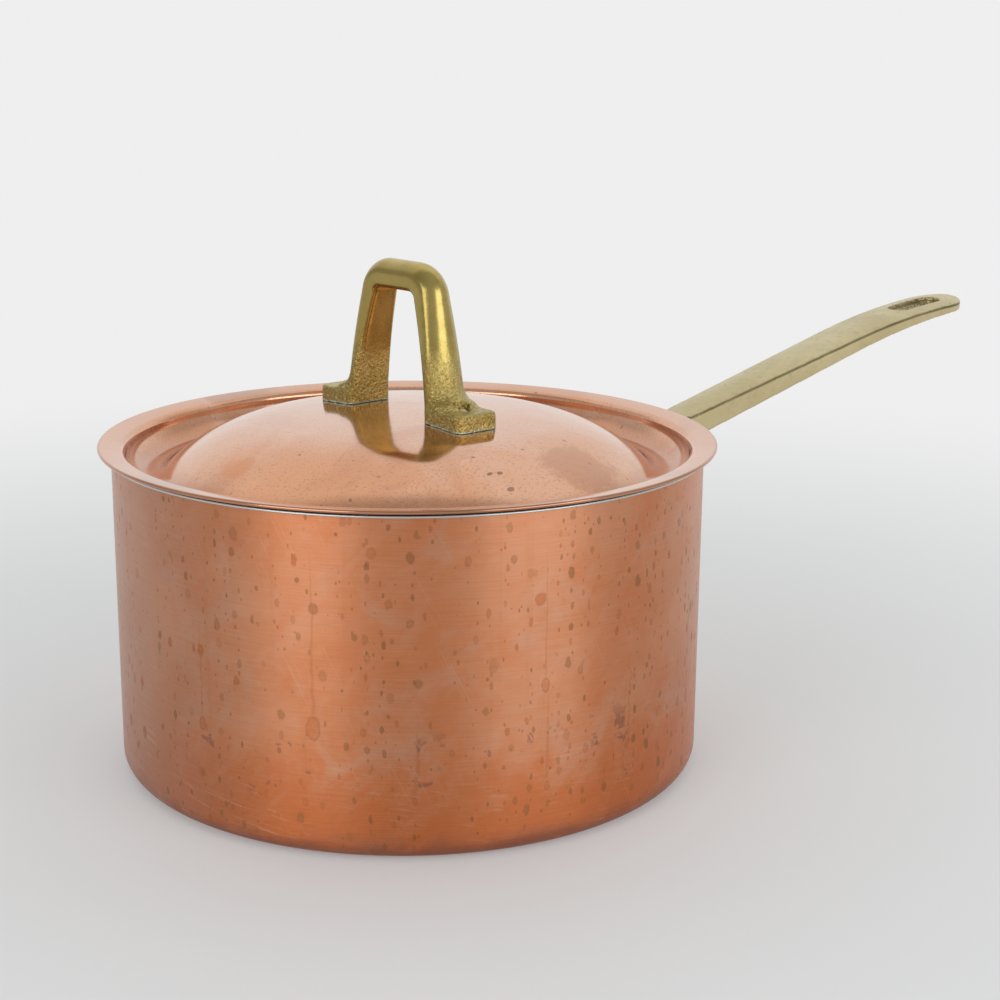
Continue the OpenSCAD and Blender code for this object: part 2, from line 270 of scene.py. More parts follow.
def casting(name, node, voxel, rounding):
    """The CAD node's shape with the softened edges of a casting."""
    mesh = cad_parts[node].data.copy()
    bm = bmesh.new()
    bm.from_mesh(mesh)
    bmesh.ops.remove_doubles(bm, verts=bm.verts, dist=WELD)
    bm.to_mesh(mesh)
    bm.free()
    obj = link(name, mesh)
    return applied(
        obj,
        ("REMESH", {"mode": "VOXEL", "voxel_size": voxel}),
        ("SMOOTH", {"factor": SMOOTHING, "iterations": rounding}),
    )


def points_of(obj):
    """The mesh points as an array with one row each."""
    points = np.zeros(len(obj.data.vertices) * 3)
    obj.data.vertices.foreach_get("co", points)
    return points.reshape(-1, 3)


def fade(values, start, end):
    """1 up to start, down to 0 at end."""
    return np.clip((end - values) / (end - start), 0, 1)


def above_dome(points):
    """Height of each point above the lid's dome."""
    return np.linalg.norm(points - DOME_CENTRE, axis=1) - CROWN_R


def soften(obj, weights, rounding):
    """Rounds the edges further where the weights are above 0."""
    group = obj.vertex_groups.new(name="soft")
    for index in np.flatnonzero(weights > 0):
        group.add([int(index)], float(weights[index]), "REPLACE")
    settings = {"factor": SMOOTHING, "iterations": rounding, "vertex_group": "soft"}
    applied(obj, ("SMOOTH", settings))
    obj.vertex_groups.clear()


arm = casting("long_handle", "pan_handle", voxel=0.4 * MM, rounding=7)
arch = casting("lid_arch", "lid_handle", voxel=0.3 * MM, rounding=3)

# the slot's lips are worn round
arm_points = points_of(arm)
past_slot = np.maximum(np.abs(arm_points[:, 0] - SLOT_X) - (SLOT_L - SLOT_W) / 2, 0)
from_slot = np.hypot(past_slot, arm_points[:, 1]) - SLOT_W / 2
soften(arm, fade(np.abs(from_slot), *SLOT_LIP_WEAR), rounding=16)
# and so is the arch, apart from its seat on the lid, and its feet most of all
arch_points = points_of(arch)
from_rivet = np.hypot(
    arch_points[:, 0] - ARCH_X,
    np.abs(arch_points[:, 1] - ARCH_Y) - LID_RIVET_Y,
)
off_seat = 1 - fade(above_dome(arch_points), *SEAT_SHARP)
clear = 1 - fade(from_rivet, *RIVET_SHARP)
low = fade(arch_points[:, 2] - CROWN_Z, *FOOT_WEAR)
soften(arch, off_seat, rounding=70)
soften(arch, off_seat * clear * low, rounding=16)
# the floor of each rivet's recess is turned flat
arch_points = points_of(arch)
floor_gap = RECESS_Z - above_dome(arch_points)
on_floor = (from_rivet < RECESS_R) & (np.abs(floor_gap) < RECESS_ROUGH)
outward = arch_points - DOME_CENTRE
outward /= np.linalg.norm(outward, axis=1)[:, None]
arch_points += outward * (floor_gap * on_floor)[:, None]
arch.data.vertices.foreach_set("co", arch_points.ravel())


def store(obj, name, values):
    """Keeps one number per vertex for the material."""
    attribute = obj.data.attributes.new(name, "FLOAT", "POINT")
    attribute.data.foreach_set("value", np.asarray(values, np.float32))


arm_points = points_of(arm)
bend_turn = math.atan(ARM_SLOPE)
arm_bend_c = (
    ARM_BEND_X + ARM_BEND_R * math.sin(bend_turn),
    ARM_ROOT_Z + ARM_SLOPE * (ARM_BEND_X - PAN_R) - ARM_BEND_R * math.cos(bend_turn),
)
arm_x = arm_points[:, 0]
arm_top = np.where(
    arm_x < ARM_BEND_X,
    ARM_ROOT_Z + ARM_SLOPE * (arm_x - PAN_R),
    arm_bend_c[1] + np.sqrt(ARM_BEND_R**2 - (arm_x - arm_bend_c[0]) ** 2),
)
arm_share = (arm_x - PAN_R) / (ARM_TIP_X - ARM_END_R - PAN_R)
arm_crown = ARM_ROOT_CROWN + (ARM_TIP_CROWN - ARM_ROOT_CROWN) * arm_share
store(arm, "above_arris", arm_points[:, 2] - (arm_top - arm_crown))

store(arch, "above_dome", above_dome(arch_points))

# ---------------------------------------------------------------- colours
SATIN_COPPER = (0.62, 0.275, 0.15)
SATIN_COPPER_DEEP = (0.59, 0.215, 0.095)
ORANGE_COPPER = (0.58, 0.17, 0.055)
RUBBED_COPPER = (0.66, 0.34, 0.21)
MILKY_COPPER = (0.56, 0.33, 0.225)
GREY_REFLECTION = (0.42, 0.245, 0.175)
BASE_DARK = (0.27, 0.115, 0.085)
STAIN = (0.31, 0.145, 0.058)
RUST = (0.50, 0.155, 0.052)
STAIN_RIM = (0.22, 0.115, 0.05)
STREAK = (0.43, 0.165, 0.07)
TARNISH = (0.24, 0.105, 0.085)
SCUFF = (0.66, 0.38, 0.25)
PAN_VERDIGRIS = (0.24, 0.23, 0.15)
SCRATCH = (0.72, 0.42, 0.29)
BRUSH_DARK = (0.15, 0.15, 0.15)
BRUSH_BRIGHT = (0.85, 0.85, 0.85)

BRIGHT_COPPER = (0.80, 0.455, 0.295)
BRIGHT_COPPER_DEEP = (0.77, 0.38, 0.21)
DUST = (0.46, 0.21, 0.125)
BLOT = (0.60, 0.27, 0.14)
BLOT_EDGE = (0.42, 0.2, 0.12)
SPECK = (0.26, 0.14, 0.09)
HAZE_MARK = (0.55, 0.26, 0.145)
ORANGE_MARK = (0.74, 0.28, 0.10)
DARK_MARK = (0.22, 0.11, 0.07)
CHANNEL_REFLECTION_DARK = (0.46, 0.19, 0.10)
FLANGE_COPPER = (0.70, 0.33, 0.18)
FLANGE_PATCH = (0.46, 0.22, 0.14)
RIM_SHADE = (0.36, 0.16, 0.09)

STEEL_PALE = (0.66, 0.655, 0.64)
STEEL_GREY = (0.54, 0.53, 0.51)
STEEL_WARM = (0.52, 0.47, 0.39)

ARM_BRASS = (0.66, 0.575, 0.34)
ARM_BRASS_DEEP = (0.57, 0.485, 0.265)
ARM_FLECK = (0.36, 0.30, 0.14)
ARM_SIDE_SHADE = (0.56, 0.44, 0.25)
ARRIS_DARK_REFLECTION = (0.13, 0.10, 0.03)
NICK = (0.13, 0.10, 0.04)
SLOT_SKIN = (0.27, 0.22, 0.11)

ARCH_BRASS = (0.60, 0.475, 0.165)
ARCH_BRASS_DEEP = (0.45, 0.34, 0.10)
ARCH_SIDE_SHADE = (0.30, 0.225, 0.065)
PIT_SHADE = (0.25, 0.175, 0.055)
GLINT = (0.80, 0.67, 0.30)
ARCH_VERDIGRIS = (0.46, 0.62, 0.52)

RIVET_BRASS = (0.60, 0.50, 0.23)
RIVET_BRASS_DEEP = (0.42, 0.33, 0.13)

FLOOR_PALE = (0.84, 0.86, 0.865)
FLOOR_GREY = (0.81, 0.83, 0.835)


# ---------------------------------------------------------------- materials
class Nodes:
    """Adds nodes to one tree. Each method returns an output socket."""

    def __init__(self, tree):
        self.tree = tree

    def add(self, kind, inputs=None, **settings):
        node = self.tree.nodes.new(kind)
        for key, value in settings.items():
            setattr(node, key, value)
        for key, value in (inputs or {}).items():
            self.put(node.inputs[key], value)
        return node

    def put(self, socket, value):
        if isinstance(value, bpy.types.NodeSocket):
            self.tree.links.new(value, socket)
        else:
            socket.default_value = value

    def split(self, vector):
        return self.add("ShaderNodeSeparateXYZ", {0: vector}).outputs

    def join(self, x, y, z=0.0):
        return self.add("ShaderNodeCombineXYZ", {0: x, 1: y, 2: z}).outputs[0]

    def math(self, operation, a, b=0.0):
        return self.add("ShaderNodeMath", {0: a, 1: b}, operation=operation).outputs[0]

    def times(self, a, b):
        return self.math("MULTIPLY", a, b)

    def plus(self, a, b):
        return self.math("ADD", a, b)

    def lean(self, a, b, share):
        """a plus a share of b."""
        return self.plus(a, self.times(b, share))

    def length(self, a, b):
        return self.math("SQRT", self.plus(self.times(a, a), self.times(b, b)))

    def step(self, value, start, end):
        """Smooth step from 0 at start to 1 at end; start may be the larger."""
        node = self.add("ShaderNodeMapRange", {0: value}, interpolation_type="SMOOTHSTEP")
        ends = (start, end, 0.0, 1.0) if start < end else (end, start, 1.0, 0.0)
        for key, part in zip((1, 2, 3, 4), ends):
            self.put(node.inputs[key], part)
        return node.outputs[0]

    def along(self, vector, direction):
        """Dot product of the two."""
        node = self.add(
            "ShaderNodeVectorMath",
            {0: vector, 1: direction},
            operation="DOT_PRODUCT",
        )
        return node.outputs["Value"]

    def spread(self, value, low, high):
        """Maps 0..1 to low..high."""
        return self.add("ShaderNodeMapRange", {0: value, 3: low, 4: high}).outputs[0]

    def noise(self, vector, scale, detail=3.0, roughness=0.5, distortion=0.0, sides="3D"):
        inputs = {
            "Scale": scale,
            "Detail": detail,
            "Roughness": roughness,
            "Distortion": distortion,
        }
        node = self.add("ShaderNodeTexNoise", inputs, noise_dimensions=sides)
        self.put(node.inputs["W" if sides == "1D" else "Vector"], vector)
        return node.outputs[0]

    def waver(self, value, scale, detail, roughness=0.5):
        """Noise along one line."""
        return self.noise(value, scale, detail, roughness, 0.0, "1D")

    def streaks(self, u, v, along, across, detail, roughness=0.6, distortion=0.0):
        """Noise drawn out into streaks; along and across are its scales on u and v."""
        place = self.join(self.times(u, along), self.times(v, across))
        return self.noise(place, 1.0, detail, roughness, distortion, "2D")

    def mix(self, share, a, b, blend="MIX"):
        node = self.add("ShaderNodeMix", data_type="RGBA", blend_type=blend)
        self.put(node.inputs[0], share)
        for key, value in ((6, a), (7, b)):
            self.put(node.inputs[key], (*value, 1.0) if isinstance(value, tuple) else value)
        return node.outputs[2]

    def paint(self, colour, mask, strength, tone):
        """The colour with the tone over it where the mask is above 0."""
        return self.mix(self.times(mask, strength), colour, tone)

    def bump(self, height, distance, strength=1.0, normal=None):
        inputs = {"Height": height, "Distance": distance, "Strength": strength}
        node = self.add("ShaderNodeBump", inputs)
        if normal is not None:
            self.put(node.inputs["Normal"], normal)
        return node.outputs[0]

    def stored(self, name):
        """A number kept per vertex by store()."""
        return self.add("ShaderNodeAttribute", attribute_name=name).outputs["Fac"]

    def spot(self, share, chosen, kind):
        """(mask, ring at its edge, kind) from the distance as a share of the spot's radius."""
        depth = self.spread(self.math("FRACT", self.times(kind, 7.0)), 0.3, 1.0)
        mask = self.times(self.times(self.step(share, 1.2, 0.65), chosen), depth)
        return mask, self.times(self.step(share, 0.45, 0.85), mask), kind

    def dice(self, node):
        """Three numbers from 0 to 1 from a node's random colour."""
        return self.add("ShaderNodeSeparateColor", {0: node.outputs["Color"]}).outputs

    def ragged(self, u, v, scale):
        """Noise either side of 0, which makes a spot's outline uneven."""
        return self.times(self.plus(self.noise(self.join(u, v), scale, 2.0), -0.5), 1.1)

    def spots(self, u, v, cell, small, large, keep, tall, seed):
        """Scattered oval spots. The radii are shares of the cell."""
        climb = self.plus(self.times(v, 1 / (cell * tall)), seed)
        place = self.join(self.times(u, 1 / cell), climb)
        node = self.add(
            "ShaderNodeTexVoronoi",
            {"Vector": place, "Scale": 1.0, "Randomness": 1.0},
            voronoi_dimensions="2D",
        )
        chance, size, kind = self.dice(node)
        radius = self.plus(self.spread(self.times(size, size), small, large), 0.03)
        share = self.math("DIVIDE", node.outputs["Distance"], radius)
        share = self.plus(share, self.ragged(u, v, 4 / cell))
        return self.spot(share, self.math("LESS_THAN", chance, keep), kind)

    def rows(self, u, v, across, along, small, large, keep, tall, seed):
        """Oval spots one above the other, in rows down the wall. The radii are in metres."""
        bend = self.noise(self.join(u, v, seed), 30, 1.0)
        bent = self.lean(self.times(u, 1 / across), bend, 0.8)
        column = self.math("FLOOR", bent)
        start = self.add(
            "ShaderNodeTexWhiteNoise",
            {"W": self.plus(column, seed)},
            noise_dimensions="1D",
        )
        climb = self.lean(self.times(v, 1 / along), start.outputs["Value"], 9.0)
        cell = self.join(column, self.math("FLOOR", climb), seed)
        chance, size, kind = self.dice(self.add("ShaderNodeTexWhiteNoise", {"Vector": cell}))
        off_u = self.plus(self.math("FRACT", bent), self.spread(kind, -0.65, -0.35))
        off_v = self.plus(self.math("FRACT", climb), self.spread(chance, -0.4, -0.6))
        away = self.length(self.times(off_u, across), self.times(off_v, along / tall))
        share = self.math("DIVIDE", away, self.spread(self.times(size, size), small, large))
        share = self.plus(share, self.ragged(u, v, 900))
        return self.spot(share, self.math("LESS_THAN", chance, keep), kind)


class Surface(Nodes):
    """The nodes of one material on the object."""

    def __init__(self, name, **constants):
        self.material = bpy.data.materials.new(name)
        self.material.use_nodes = True
        super().__init__(self.material.node_tree)
        self.shader = self.tree.nodes["Principled BSDF"]
        for key, value in constants.items():
            self.shader.inputs[key.replace("_", " ")].default_value = value
        self.place = self.add("ShaderNodeTexCoord").outputs["Object"]
        self.x, self.y, self.z = self.split(self.place)

    def around(self):
        """(angle round the pan's axis, measured from the side away from the handle; radius)."""
        angle = self.math("ARCTAN2", self.times(self.y, -1.0), self.times(self.x, -1.0))
        return angle, self.length(self.x, self.y)

    def finish(self, colour, roughness, normal):
        self.put(self.shader.inputs["Base Color"], colour)
        self.put(self.shader.inputs["Roughness"], roughness)
        self.put(self.shader.inputs["Normal"], normal)
        return self.material


# Middle of the pan's duller side, where a grey reflection is painted
GREY_REFLECTION_SIDE = Vector((-0.5, 0.87, 0))


def copper_pan():
    s = Surface("copper_pan", Metallic=1.0, Anisotropic=0.75, Anisotropic_Rotation=0.25)
    angle, radius = s.around()
    u = s.times(angle, PAN_R)
    v = s.plus(s.z, s.math("SUBTRACT", radius, PAN_R))
    clouds = s.noise(s.place, 24, 4.0, 0.6)
    patches = s.noise(s.place, 50, 5.0, 0.65, 0.6)
    brushing = s.streaks(u, s.lean(v, u, 0.02), 45, 3600, 2.0)
    grain = s.streaks(u, s.lean(v, u, -0.05), 130, 1100, 3.0)

    colour = s.mix(s.step(clouds, 0.38, 0.66), SATIN_COPPER, SATIN_COPPER_DEEP)
    low = s.step(s.lean(v, patches, 50 * MM), 66 * MM, 36 * MM)
    colour = s.paint(colour, low, 0.85, ORANGE_COPPER)
    # rubbed, in slanting bands
    rubbed = s.streaks(s.plus(u, v), s.lean(v, u, -1.0), 22, 90, 4.0)
    colour = s.paint(colour, s.step(rubbed, 0.48, 0.75), 0.2, RUBBED_COPPER)
    # milky patches
    milky = s.times(s.step(patches, 0.50, 0.68), s.step(v, 12 * MM, 30 * MM))
    colour = s.paint(colour, milky, 0.4, MILKY_COPPER)
    # duller and greyer on one side: a painted grey reflection
    grey = s.step(s.lean(s.along(s.place, GREY_REFLECTION_SIDE / PAN_R), clouds, 0.4), 0.2, 0.85)
    colour = s.paint(colour, grey, 0.55, GREY_REFLECTION)
    # darker towards the base
    tint = s.step(s.lean(v, patches, 12 * MM), 15 * MM, 6 * MM)
    colour = s.paint(colour, tint, 0.75, BASE_DARK)

    # water spots: in rows where drops ran down, and loose ones between them
    crowd = s.spread(s.step(s.waver(u, 60, 1.0), 0.35, 0.65), 0.08, 0.62)
    crowd = s.times(crowd, 0.8)
    marks = 0.0
    for (mask, ring, kind), strength in (
        (s.rows(u, v, 6.3 * MM, 5.2 * MM, 0.35 * MM, 1.25 * MM, crowd, 1.5, 2.0), 0.7),
        (s.rows(u, v, 4.1 * MM, 3.4 * MM, 0.25 * MM, 0.75 * MM, crowd, 1.9, 7.0), 0.7),
        (s.spots(u, v, 13 * MM, 0.01, 0.09, 0.5, 1.3, 3.7), 0.6),
        (s.spots(u, v, 3.1 * MM, 0.0, 0.11, 0.3, 1.3, 5.1), 0.75),
    ):
        inside = s.mix(s.step(kind, 0.62, 0.66), STAIN, RUST)
        colour = s.paint(colour, mask, strength, inside)
        colour = s.paint(colour, ring, 0.2, STAIN_RIM)
        marks = s.math("MAXIMUM", marks, mask)

    # runs of water: faint straight streaks, then a few that wander and end in a drop
    streaks = s.streaks(u, v, 240, 9, 2.0, 0.5)
    colour = s.paint(colour, s.step(streaks, 0.60, 0.85), 0.15, STREAK)
    wander = s.times(s.plus(s.waver(v, 80, 3.0, 0.6), -0.5), 5 * MM)
    # each run: its place round the wall, top, foot, half width, sway and its drop's radius
    for degrees, top, foot, width, sway, drop in (
        (95, 56 * MM, 26 * MM, 0.6 * MM, 1.6, 1.0 * MM),
        (53, 44 * MM, 19 * MM, 0.9 * MM, 1.1, 0.8 * MM),
        (35, 94 * MM, 41 * MM, 0.6 * MM, 0.4, 2.2 * MM),
        (76, 92 * MM, 50 * MM, 0.35 * MM, 0.2, 1.3 * MM),
        (76.5, 50 * MM, 20 * MM, 0.8 * MM, 0.2, 0.9 * MM),
        (12, 70 * MM, 35 * MM, 0.4 * MM, 0.3, 1.3 * MM),
        (118, 80 * MM, 30 * MM, 0.4 * MM, 0.5, 1.5 * MM),
        (200, 90 * MM, 30 * MM, 0.5 * MM, 0.5, 2.0 * MM),
        (-60, 85 * MM, 40 * MM, 0.5 * MM, 0.5, 2.0 * MM),
    ):
        off = s.lean(s.plus(u, -math.radians(degrees) * PAN_R), wander, sway)
        faint = s.spread(s.waver(v, 140, 2.0), 0.2, 0.9)
        half = s.times(s.spread(s.step(v, top, foot), 0.35, 1.0), width)
        aside = s.math("DIVIDE", s.math("ABSOLUTE", off), half)
        span = s.times(s.step(v, foot, foot + 1 * MM), s.step(v, top, 0.6 * top + 0.4 * foot))
        run = s.times(s.times(s.step(aside, 1.3, 0.2), faint), span)
        below = s.plus(v, drop * 1.5 - foot)
        reach = s.length(s.times(off, 1 / drop), s.times(below, 0.6 / drop))
        reach = s.lean(reach, s.ragged(u, v, 500), 0.4)
        bead = s.step(reach, 1.1, 0.8)
        edge = s.times(bead, s.step(reach, 0.6, 0.95))
        colour = s.paint(colour, run, 0.5, s.mix(0.5, STAIN, RUST))
        colour = s.paint(colour, bead, 0.35, RUST)
        colour = s.paint(colour, edge, 0.4, STAIN)
        marks = s.math("MAXIMUM", marks, s.math("MAXIMUM", run, bead))

    # dark tarnish above the base
    tarnish = s.step(s.noise(s.place, 130, 3.0, 0.6, 0.4), 0.63, 0.68)
    window = s.times(s.step(v, 12 * MM, 20 * MM), s.step(v, 40 * MM, 32 * MM))
    colour = s.paint(colour, s.times(tarnish, window), 0.55, TARNISH)

    # pale scuffs low on the wall
    scuffs = s.step(s.streaks(u, s.lean(v, u, 0.16), 60, 1000, 3.0), 0.58, 0.72)
    window = s.times(s.step(v, 34 * MM, 22 * MM), s.step(patches, 0.47, 0.6))
    scuff = s.times(scuffs, window)
    colour = s.paint(colour, scuff, 0.4, SCUFF)

    # verdigris dots
    dots, _, _ = s.spots(u, v, 11 * MM, 0.0, 0.03, 0.16, 1.0, 21.4)
    colour = s.paint(colour, dots, 0.6, PAN_VERDIGRIS)
    # thin slanting scratches
    scratches = s.streaks(s.lean(u, v, 0.5), v, 2600, 30, 1.0, 0.4)
    scratch = s.times(s.step(scratches, 0.72, 0.80), s.step(clouds, 0.45, 0.6))
    colour = s.paint(colour, scratch, 0.3, SCRATCH)

    shine = s.lean(s.times(brushing, 0.6), grain, 0.4)
    shine = s.mix(shine, BRUSH_DARK, BRUSH_BRIGHT)
    colour = s.mix(0.28, colour, shine, "OVERLAY")
    rough = s.lean(s.spread(clouds, 0.36, 0.44), marks, 0.08)
    rough = s.lean(rough, s.plus(grain, -0.5), 0.12)
    normal = s.bump(s.lean(brushing, grain, 0.7), 0.012 * MM, 0.5)
    normal = s.bump(patches, 0.2 * MM, 0.3, normal)
    normal = s.bump(marks, 0.02 * MM, 0.6, normal)
    return s.finish(colour, rough, normal)


def copper_lid():
    s = Surface("copper_lid", Metallic=1.0, Coat_Weight=0.4, Coat_Roughness=0.05)
    angle, radius = s.around()
    clouds = s.noise(s.place, 26, 4.0, 0.6, 0.8)
    fine = s.noise(s.place, 120, 4.0, 0.6)
    dust = s.noise(s.place, 1300, 3.0, 0.6)
    colour = s.mix(s.step(clouds, 0.36, 0.64), BRIGHT_COPPER, BRIGHT_COPPER_DEEP)
    colour = s.paint(colour, s.step(dust, 0.52, 0.68), 0.5, DUST)
    # dried water marks: soft blotches with a darker edge
    blot = s.noise(s.join(s.plus(s.x, 0.4), s.y), 17, 3.0, 0.5, 1.5)
    edge = s.times(s.step(blot, 0.585, 0.60), s.step(blot, 0.625, 0.605))
    colour = s.paint(colour, s.step(blot, 0.57, 0.66), 0.3, BLOT)
    edge = s.times(edge, s.step(fine, 0.4, 0.6))
    colour = s.paint(colour, edge, 0.15, BLOT_EDGE)
    specks, _, _ = s.spots(s.x, s.y, 9 * MM, 0.01, 0.05, 0.35, 1.0, 4.4)
    colour = s.paint(colour, specks, 0.8, SPECK)
    # single marks: middle, half length and half width, depth, colour
    for x, y, long, wide, depth, tone in (
        (14 * MM, -62 * MM, 13 * MM, 10 * MM, 0.6, HAZE_MARK),
        (-63 * MM, -1 * MM, 4 * MM, 6 * MM, 0.5, ORANGE_MARK),
        (-17 * MM, -57.7 * MM, 1.1 * MM, 0.6 * MM, 0.8, DARK_MARK),
        (-14 * MM, -58.6 * MM, 0.9 * MM, 0.6 * MM, 0.8, DARK_MARK),
        (-15 * MM, -64.5 * MM, 1.4 * MM, 0.8 * MM, 0.7, DARK_MARK),
    ):
        across = s.times(s.plus(s.x, -x), 1 / long)
        reach = s.length(across, s.times(s.plus(s.y, -y), 1 / wide))
        reach = s.lean(reach, s.plus(s.noise(s.place, 190, 3.0, 0.6), -0.5), 1.4)
        colour = s.paint(colour, s.step(reach, 1.15, 0.7), depth, tone)
    # browner in the channel: a painted darker reflection
    channel = s.step(s.z, 96 * MM, 90 * MM)
    colour = s.paint(colour, channel, 0.6, CHANNEL_REFLECTION_DARK)
    # the flange is browner, in patches
    flange = s.step(radius, CHANNEL_WALL_R, CHANNEL_WALL_R + 2 * MM)
    patches = s.noise(s.join(s.x, s.plus(s.y, 0.7)), 22, 3.0, 0.55, 0.5)
    patches = s.step(patches, 0.50, 0.62)
    colour = s.paint(colour, flange, 0.5, FLANGE_COPPER)
    colour = s.paint(colour, s.times(flange, patches), 0.6, FLANGE_PATCH)
    # darker at the lid's rounded rim: painted shade
    rim = s.step(radius, LID_R - 1.0 * MM, LID_R - 0.2 * MM)
    colour = s.paint(colour, rim, 0.6, RIM_SHADE)

    # turning lines, and wipes across them
    turned = s.streaks(angle, radius, 1.6, 4200, 3.0, 0.7)
    wiped = s.streaks(s.lean(s.x, s.y, 0.4), s.y, 60, 1700, 3.0, 0.6, 0.3)
    waves = s.noise(s.place, 42, 2.0, 0.5)
    rough = s.lean(s.spread(clouds, 0.09, 0.17), s.step(fine, 0.45, 0.75), 0.06)
    rough = s.lean(rough, s.plus(turned, -0.5), 0.05)
    normal = s.bump(s.lean(turned, wiped, 0.6), 0.004 * MM, 0.4)
    normal = s.bump(waves, 0.3 * MM, 0.3, normal)
    return s.finish(colour, rough, normal)


def steel():
    s = Surface("steel_lining", Metallic=1.0)
    angle, radius = s.around()
    lines = s.streaks(angle, s.plus(s.z, radius), 2.0, 3800, 3.0, 0.7)
    clouds = s.noise(s.place, 30, 4.0, 0.6)
    colour = s.mix(clouds, STEEL_PALE, STEEL_GREY)
    colour = s.paint(colour, s.step(clouds, 0.55, 0.75), 0.4, STEEL_WARM)
    rough = s.lean(s.spread(clouds, 0.22, 0.32), s.plus(lines, -0.5), 0.12)
    return s.finish(colour, rough, s.bump(lines, 0.006 * MM, 0.6))


def brass_arm():
    s = Surface("brass_pan_handle", Metallic=1.0)
    clouds = s.noise(s.place, 38, 4.0, 0.6, 0.4)
    fine = s.noise(s.place, 420, 4.0, 0.65)
    colour = s.mix(s.step(clouds, 0.35, 0.65), ARM_BRASS, ARM_BRASS_DEEP)
    colour = s.paint(colour, s.step(fine, 0.5, 0.72), 0.25, ARM_FLECK)
    gap = s.stored("above_arris")
    # a painted dark reflection along the arris, as a line which ends before the plate
    wavy = s.lean(gap, s.plus(s.waver(s.x, 140, 2.0), -0.5), 0.25 * MM)
    line = s.times(s.step(wavy, -0.95 * MM, -0.4 * MM), s.step(wavy, 0.3 * MM, -0.15 * MM))
    line = s.times(line, s.spread(s.waver(s.x, 60, 3.0, 0.6), 0.5, 1.0))
    line = s.times(line, s.step(s.x, PAN_R + 6 * MM, PAN_R + 12 * MM))
    colour = s.paint(colour, line, 0.9, ARRIS_DARK_REFLECTION)
    # the side faces below the arris are darker: painted shade
    side = s.step(gap, -0.6 * MM, -2.5 * MM)
    colour = s.paint(colour, side, 0.35, ARM_SIDE_SHADE)
    # nicks on the top face only
    nicks, _, _ = s.spots(s.x, s.y, 13 * MM, 0.01, 0.045, 0.35, 0.6, 8.8)
    nicks = s.times(nicks, s.step(gap, -1.0 * MM, -0.2 * MM))
    colour = s.paint(colour, nicks, 0.8, NICK)
    # rough casting skin inside the slot
    off_x = s.plus(s.math("ABSOLUTE", s.plus(s.x, -SLOT_X)), (SLOT_W - SLOT_L) / 2)
    from_middle = s.length(s.math("MAXIMUM", off_x, 0.0), s.y)
    slot = s.step(from_middle, SLOT_W / 2 + 0.7 * MM, SLOT_W / 2)
    cast = s.noise(s.place, 1100, 4.0, 0.7)
    colour = s.paint(colour, slot, s.step(cast, 0.66, 0.40), SLOT_SKIN)
    rough = s.lean(s.spread(clouds, 0.30, 0.40), s.step(fine, 0.5, 0.8), 0.15)
    normal = s.bump(fine, 0.05 * MM, 0.35)
    normal = s.bump(s.times(cast, slot), 0.2 * MM, 0.8, normal)
    normal = s.bump(clouds, 0.3 * MM, 0.25, normal)
    normal = s.bump(s.lean(s.times(nicks, -1.0), line, -0.5), 0.15 * MM, 0.7, normal)
    return s.finish(colour, rough, normal)


def brass_arch():
    s = Surface("brass_lid_handle", Metallic=1.0)
    clouds = s.noise(s.place, 60, 4.0, 0.6, 0.4)
    fine = s.noise(s.place, 650, 4.0, 0.65)
    cast = s.noise(s.place, 1300, 3.0, 0.6)
    above = s.stored("above_dome")
    # raw casting skin, which fades out up the legs
    raw = s.step(s.lean(above, s.plus(clouds, -0.5), 18 * MM), 27 * MM, 4 * MM)
    colour = s.mix(s.step(clouds, 0.35, 0.65), ARCH_BRASS, ARCH_BRASS_DEEP)
    # faces turned to either side across the arch are darker: painted shade
    across = s.split(s.add("ShaderNodeTexCoord").outputs["Normal"])[0]
    sides = s.step(s.math("ABSOLUTE", across), 0.3, 0.9)
    colour = s.paint(colour, sides, 0.85, ARCH_SIDE_SHADE)
    # casting pits darkened with painted shade, and painted glints between them
    pits = s.times(s.step(cast, 0.50, 0.66), s.spread(raw, 0.06, 0.71))
    colour = s.mix(pits, colour, PIT_SHADE)
    glints = s.times(s.step(cast, 0.46, 0.34), s.times(raw, 0.6))
    colour = s.mix(glints, colour, GLINT)
    # verdigris where the feet meet the lid
    seam = s.step(above, 0.75 * MM, 0.45 * MM)
    colour = s.paint(colour, seam, 0.9, ARCH_VERDIGRIS)
    rough = s.lean(s.spread(clouds, 0.19, 0.27), raw, 0.06)
    rough = s.lean(rough, s.step(fine, 0.5, 0.8), 0.10)
    normal = s.bump(cast, 0.45 * MM, s.spread(raw, 0.03, 0.83))
    normal = s.bump(fine, 0.7 * MM, s.spread(raw, 0.04, 0.64), normal)
    normal = s.bump(clouds, 0.35 * MM, 0.35, normal)
    return s.finish(colour, rough, normal)


def brass_rivet():
    s = Surface("brass_rivet", Metallic=1.0)
    clouds = s.noise(s.place, 300, 4.0, 0.6)
    fine = s.noise(s.place, 1800, 3.0, 0.6)
    colour = s.mix(clouds, RIVET_BRASS, RIVET_BRASS_DEEP)
    rough = s.spread(fine, 0.22, 0.42)
    return s.finish(colour, rough, s.bump(fine, 0.03 * MM, 0.5))


FINISHES = {
    "copper_pan": copper_pan(),
    "copper_lid": copper_lid(),
    "steel_lining": steel(),
    "brass_pan_handle": brass_arm(),
    "brass_lid_handle": brass_arch(),
    "brass_rivet": brass_rivet(),
}


def dress(obj, finish):
    """Gives the object that one material."""
    obj.data.materials.clear()
    obj.data.materials.append(FINISHES[finish])


for obj, node, body, finish in (
    (pan_copper, "pan_copper_shell", "pan", "copper_pan"),
    (pan_lining, "pan_steel_liner", "pan", "steel_lining"),
    (arm, "pan_handle", "pan", "brass_pan_handle"),
    (lid_copper, "lid_copper_shell", "lid", "copper_lid"),
    (lid_lining, "lid_steel_liner", "lid", "steel_lining"),
    (arch, "lid_handle", "lid", "brass_lid_handle"),
):
    dress(obj, finish)
    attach(obj, body)
    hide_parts(node)

